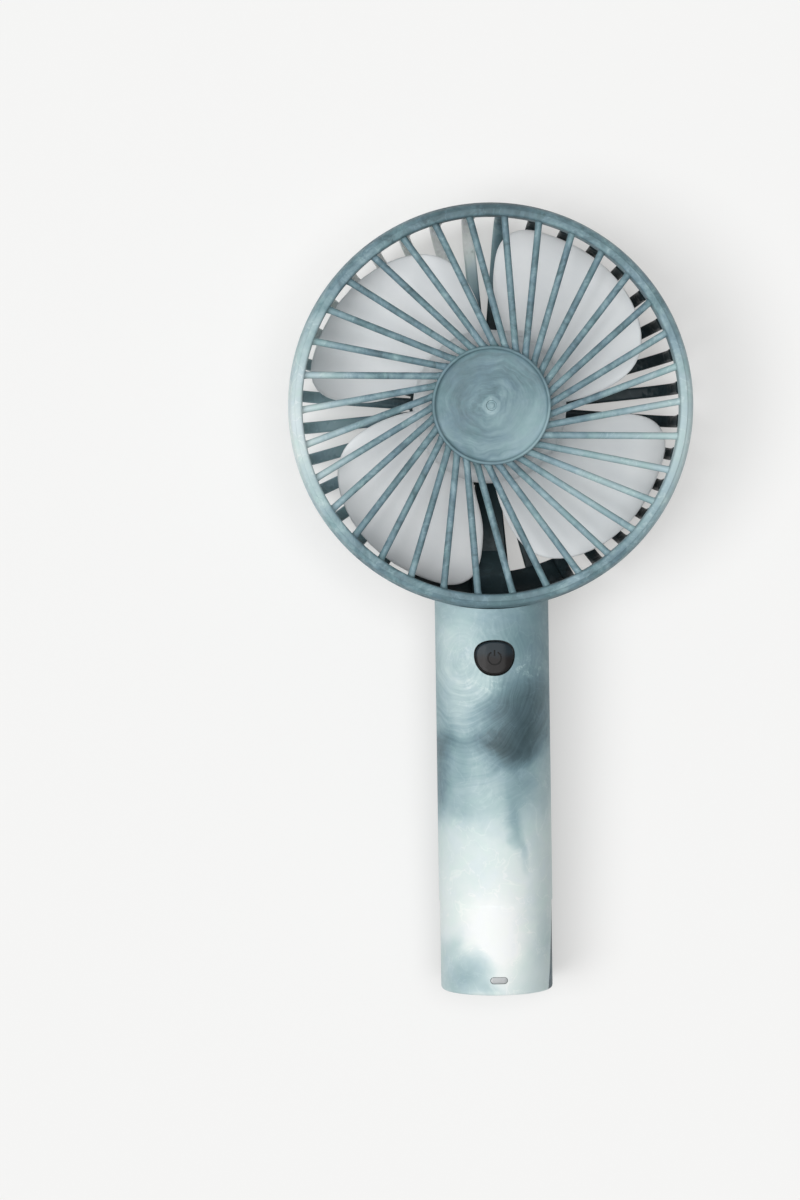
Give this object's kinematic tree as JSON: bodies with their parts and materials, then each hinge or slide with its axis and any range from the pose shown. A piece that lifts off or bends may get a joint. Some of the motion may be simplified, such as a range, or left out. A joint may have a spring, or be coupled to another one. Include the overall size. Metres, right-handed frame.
{
  "type": "handheld electric fan",
  "caption": "Battery fan with a round grilled head, a four-blade impeller on a small motor, and a straight round handle with a push button and an indicator window.",
  "frame": {"origin": "centre of the bounding box's base, on the plane that the round back of the head lies on", "axes": "+Z leaves the front grille, +Y points along the handle to the head, +X completes the right-handed frame"},
  "size_m": [0.1052, 0.2062, 0.038],
  "materials": {
    "marbled_plastic": "marbled pale grey-blue, satin",
    "dark_marbled_plastic": "marbled near-black teal, satin",
    "white_plastic": "white, satin",
    "gloss_black_plastic": "polished dark grey",
    "black_plastic": "matte black",
    "lens_plastic": "frosted light grey",
    "steel": "plated",
    "tinned_metal": "nickel or tin plated",
    "bronze": "sintered bronze",
    "copper_wire": "enamelled copper",
    "magnet": "dark ferrite",
    "board": "green solder mask",
    "cell_sleeve": "shrink sleeve",
    "foam": "closed cell foam",
    "red_lead": "silicone insulation",
    "black_lead": "silicone insulation"
  },
  "bodies": {
    "housing": {"front_grille": "marbled_plastic", "rear_grille": "dark_marbled_plastic", "motor_back_cover": "dark_marbled_plastic", "motor_can": "steel", "motor_end_cap": "black_plastic", "motor_terminals": "tinned_metal", "motor_front_bush": "bronze", "motor_rear_bush": "bronze", "motor_magnets": "magnet", "motor_brushes": "bronze", "motor_screws": "steel", "handle_front_shell": "marbled_plastic", "handle_rear_shell": "dark_marbled_plastic", "shell_screws": "steel", "switch_body": "black_plastic", "circuit_board": "board", "controller_chip": "black_plastic", "motor_transistor": "black_plastic", "board_screws": "steel", "battery_cell": "cell_sleeve", "battery_tab_positive": "tinned_metal", "battery_tab_negative": "tinned_metal", "battery_pads": "foam", "charge_board": "board", "charge_socket": "tinned_metal", "charger_chip": "black_plastic", "indicator_led": "lens_plastic", "indicator_lens": "lens_plastic", "motor_lead_red": "red_lead", "motor_lead_black": "black_lead", "battery_lead_red": "red_lead", "battery_lead_black": "black_lead", "charge_lead_red": "red_lead", "charge_lead_black": "black_lead"},
    "rotor": {"impeller": "white_plastic", "motor_shaft": "steel", "armature_core": "steel", "armature_windings": "copper_wire", "commutator": "copper_wire"},
    "power_button": {"power_button": "gloss_black_plastic"},
    "switch_plunger": {"switch_plunger": "black_plastic"}
  },
  "joints": [
    {"name": "rotor_spin", "type": "hinge", "parent": "housing", "child": "rotor", "pos_m": [0, 0.0505, 0.019], "axis": [0, 0, 1], "continuous": true},
    {"name": "button_press", "type": "slide", "parent": "housing", "child": "power_button", "axis": [0, 0, -1], "range_m": [0, 0.0005], "stiffness_N_per_m": 800, "springref_m": -0.0005},
    {"name": "switch_press", "type": "slide", "parent": "housing", "child": "switch_plunger", "axis": [0, 0, -1], "range_m": [0, 0.0005]}
  ],
  "couplings": [
    {"joint": "switch_press", "follows": "button_press", "ratio": 1}
  ]
}
